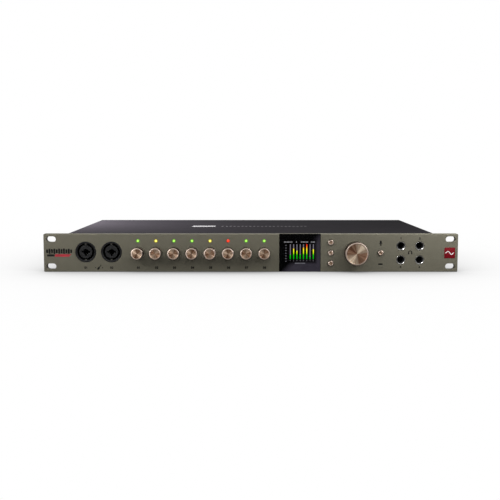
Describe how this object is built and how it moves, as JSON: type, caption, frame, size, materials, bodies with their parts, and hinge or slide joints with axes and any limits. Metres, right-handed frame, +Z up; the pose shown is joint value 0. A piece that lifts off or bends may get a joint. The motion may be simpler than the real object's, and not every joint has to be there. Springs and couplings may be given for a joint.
{
  "type": "microphone preamp",
  "caption": "One-unit 19-inch rack microphone preamp and audio interface: combo sockets, gain knobs with lights, level display, monitor knob and headphone jacks.",
  "frame": {"origin": "centre of the pattern of the four rack slots, on the rear face of the front panel, which is the plane of the rack rails", "axes": "+X to the right seen from the front, +Y towards the rear, +Z up"},
  "size_m": [0.4826, 0.276, 0.0444],
  "materials": {
    "panel_paint": "satin metallic olive-bronze paint",
    "chassis_paint": "fine-textured anthracite powder coat",
    "rear_paint": "fine-textured black powder coat",
    "screw_steel": "zinc-plated steel",
    "screw_black": "black oxide",
    "badge_red": "gloss enamel on a metal square",
    "display_glass": "dark-tinted polished glass",
    "lcd_frame": "matte black bezel",
    "board": "solder-masked glass-fibre laminate",
    "standoff_brass": "nickel-washed brass",
    "chip_black": "moulded epoxy",
    "module_board": "solder-masked laminate with moulded transistors",
    "heat_sink_black": "black anodised",
    "capacitor_sleeve": "shrink sleeve on an aluminium can",
    "ribbon_grey": "flat-cable insulation",
    "encoder_metal": "plated die casting",
    "nut_nickel": "nickel plate",
    "light_green": "frosted light pipe over a green light",
    "light_yellow": "frosted light pipe over a yellow light",
    "light_red": "frosted light pipe over a red light",
    "switch_black": "moulded nylon",
    "mic_metal": "drawn can",
    "socket_black": "glass-filled nylon",
    "bushing_chrome": "turned and nickel-plated",
    "dsub_metal": "tin-plated steel shell",
    "bnc_nickel": "nickel-plated brass",
    "rca_gold": "gold-plated brass",
    "optical_black": "moulded plastic",
    "usb_metal": "drawn steel shell",
    "knob_gold": "spun-faced rose-gold anodised aluminium",
    "shaft_steel": "turned steel"
  },
  "bodies": {
    "root": {"front_panel": "panel_paint", "chassis_base": "chassis_paint", "top_cover": "chassis_paint", "rear_panel": "rear_paint", "panel_screws": "screw_steel", "chassis_screws": "screw_black", "connector_screws": "screw_black", "badge": "badge_red", "display_window": "display_glass", "lcd_module": "lcd_frame", "control_board": "board", "main_board": "board", "board_standoffs": "standoff_brass", "board_screws": "screw_steel", "processor_chips": "chip_black", "preamp_modules": "module_board", "heat_sink": "heat_sink_black", "capacitors": "capacitor_sleeve", "ribbon_cable": "ribbon_grey", "encoder_bodies": "encoder_metal", "bushing_nuts": "nut_nickel", "lights_green": "light_green", "lights_yellow": "light_yellow", "lights_red": "light_red", "button_switches": "switch_black", "talkback_mic": "mic_metal", "front_combo_1": "socket_black", "front_combo_2": "socket_black", "headphone_jacks": "socket_black", "headphone_bushings": "bushing_chrome", "rear_combos": "socket_black", "monitor_jacks": "socket_black", "dsub_ports": "dsub_metal", "bnc_ports": "bnc_nickel", "rca_ports": "rca_gold", "optical_ports": "optical_black", "usb_ports": "usb_metal", "dc_inlet": "socket_black"},
    "gain_shaft_1_body": {"gain_shaft_1": "shaft_steel"},
    "gain_knob_1_body": {"gain_knob_1": "knob_gold"},
    "gain_shaft_2_body": {"gain_shaft_2": "shaft_steel"},
    "gain_knob_2_body": {"gain_knob_2": "knob_gold"},
    "gain_shaft_3_body": {"gain_shaft_3": "shaft_steel"},
    "gain_knob_3_body": {"gain_knob_3": "knob_gold"},
    "gain_shaft_4_body": {"gain_shaft_4": "shaft_steel"},
    "gain_knob_4_body": {"gain_knob_4": "knob_gold"},
    "gain_shaft_5_body": {"gain_shaft_5": "shaft_steel"},
    "gain_knob_5_body": {"gain_knob_5": "knob_gold"},
    "gain_shaft_6_body": {"gain_shaft_6": "shaft_steel"},
    "gain_knob_6_body": {"gain_knob_6": "knob_gold"},
    "gain_shaft_7_body": {"gain_shaft_7": "shaft_steel"},
    "gain_knob_7_body": {"gain_knob_7": "knob_gold"},
    "gain_shaft_8_body": {"gain_shaft_8": "shaft_steel"},
    "gain_knob_8_body": {"gain_knob_8": "knob_gold"},
    "main_shaft_body": {"main_shaft": "shaft_steel"},
    "main_knob_body": {"main_knob": "knob_gold"},
    "menu_button_1_body": {"menu_button_1": "knob_gold"},
    "menu_button_2_body": {"menu_button_2": "knob_gold"},
    "menu_button_3_body": {"menu_button_3": "knob_gold"},
    "talkback_button_body": {"talkback_button": "knob_gold"}
  },
  "joints": [
    {"name": "gain_1_press", "type": "slide", "parent": "root", "child": "gain_shaft_1_body", "axis": [0, 1, 0], "range_m": [0, 0.0005], "stiffness_N_per_m": 2500, "springref_m": -0.0005},
    {"name": "gain_1_turn", "type": "hinge", "parent": "gain_shaft_1_body", "child": "gain_knob_1_body", "pos_m": [-0.1314, -0.008, 0], "axis": [0, -1, 0], "continuous": true},
    {"name": "gain_2_press", "type": "slide", "parent": "root", "child": "gain_shaft_2_body", "axis": [0, 1, 0], "range_m": [0, 0.0005], "stiffness_N_per_m": 2500, "springref_m": -0.0005},
    {"name": "gain_2_turn", "type": "hinge", "parent": "gain_shaft_2_body", "child": "gain_knob_2_body", "pos_m": [-0.1104, -0.008, 0], "axis": [0, -1, 0], "continuous": true},
    {"name": "gain_3_press", "type": "slide", "parent": "root", "child": "gain_shaft_3_body", "axis": [0, 1, 0], "range_m": [0, 0.0005], "stiffness_N_per_m": 2500, "springref_m": -0.0005},
    {"name": "gain_3_turn", "type": "hinge", "parent": "gain_shaft_3_body", "child": "gain_knob_3_body", "pos_m": [-0.0894, -0.008, 0], "axis": [0, -1, 0], "continuous": true},
    {"name": "gain_4_press", "type": "slide", "parent": "root", "child": "gain_shaft_4_body", "axis": [0, 1, 0], "range_m": [0, 0.0005], "stiffness_N_per_m": 2500, "springref_m": -0.0005},
    {"name": "gain_4_turn", "type": "hinge", "parent": "gain_shaft_4_body", "child": "gain_knob_4_body", "pos_m": [-0.0684, -0.008, 0], "axis": [0, -1, 0], "continuous": true},
    {"name": "gain_5_press", "type": "slide", "parent": "root", "child": "gain_shaft_5_body", "axis": [0, 1, 0], "range_m": [0, 0.0005], "stiffness_N_per_m": 2500, "springref_m": -0.0005},
    {"name": "gain_5_turn", "type": "hinge", "parent": "gain_shaft_5_body", "child": "gain_knob_5_body", "pos_m": [-0.0474, -0.008, 0], "axis": [0, -1, 0], "continuous": true},
    {"name": "gain_6_press", "type": "slide", "parent": "root", "child": "gain_shaft_6_body", "axis": [0, 1, 0], "range_m": [0, 0.0005], "stiffness_N_per_m": 2500, "springref_m": -0.0005},
    {"name": "gain_6_turn", "type": "hinge", "parent": "gain_shaft_6_body", "child": "gain_knob_6_body", "pos_m": [-0.0264, -0.008, 0], "axis": [0, -1, 0], "continuous": true},
    {"name": "gain_7_press", "type": "slide", "parent": "root", "child": "gain_shaft_7_body", "axis": [0, 1, 0], "range_m": [0, 0.0005], "stiffness_N_per_m": 2500, "springref_m": -0.0005},
    {"name": "gain_7_turn", "type": "hinge", "parent": "gain_shaft_7_body", "child": "gain_knob_7_body", "pos_m": [-0.0054, -0.008, 0], "axis": [0, -1, 0], "continuous": true},
    {"name": "gain_8_press", "type": "slide", "parent": "root", "child": "gain_shaft_8_body", "axis": [0, 1, 0], "range_m": [0, 0.0005], "stiffness_N_per_m": 2500, "springref_m": -0.0005},
    {"name": "gain_8_turn", "type": "hinge", "parent": "gain_shaft_8_body", "child": "gain_knob_8_body", "pos_m": [0.0156, -0.008, 0], "axis": [0, -1, 0], "continuous": true},
    {"name": "main_press", "type": "slide", "parent": "root", "child": "main_shaft_body", "axis": [0, 1, 0], "range_m": [0, 0.0005], "stiffness_N_per_m": 2500, "springref_m": -0.0005},
    {"name": "main_turn", "type": "hinge", "parent": "main_shaft_body", "child": "main_knob_body", "pos_m": [0.1222, -0.008, 0], "axis": [0, -1, 0], "continuous": true},
    {"name": "menu_button_1_press", "type": "slide", "parent": "root", "child": "menu_button_1_body", "axis": [0, 1, 0], "range_m": [0, 0.0005], "stiffness_N_per_m": 2000, "springref_m": -0.0005},
    {"name": "menu_button_2_press", "type": "slide", "parent": "root", "child": "menu_button_2_body", "axis": [0, 1, 0], "range_m": [0, 0.0005], "stiffness_N_per_m": 2000, "springref_m": -0.0005},
    {"name": "menu_button_3_press", "type": "slide", "parent": "root", "child": "menu_button_3_body", "axis": [0, 1, 0], "range_m": [0, 0.0005], "stiffness_N_per_m": 2000, "springref_m": -0.0005},
    {"name": "talkback_button_press", "type": "slide", "parent": "root", "child": "talkback_button_body", "axis": [0, 1, 0], "range_m": [0, 0.0005], "stiffness_N_per_m": 2000, "springref_m": -0.0005}
  ]
}
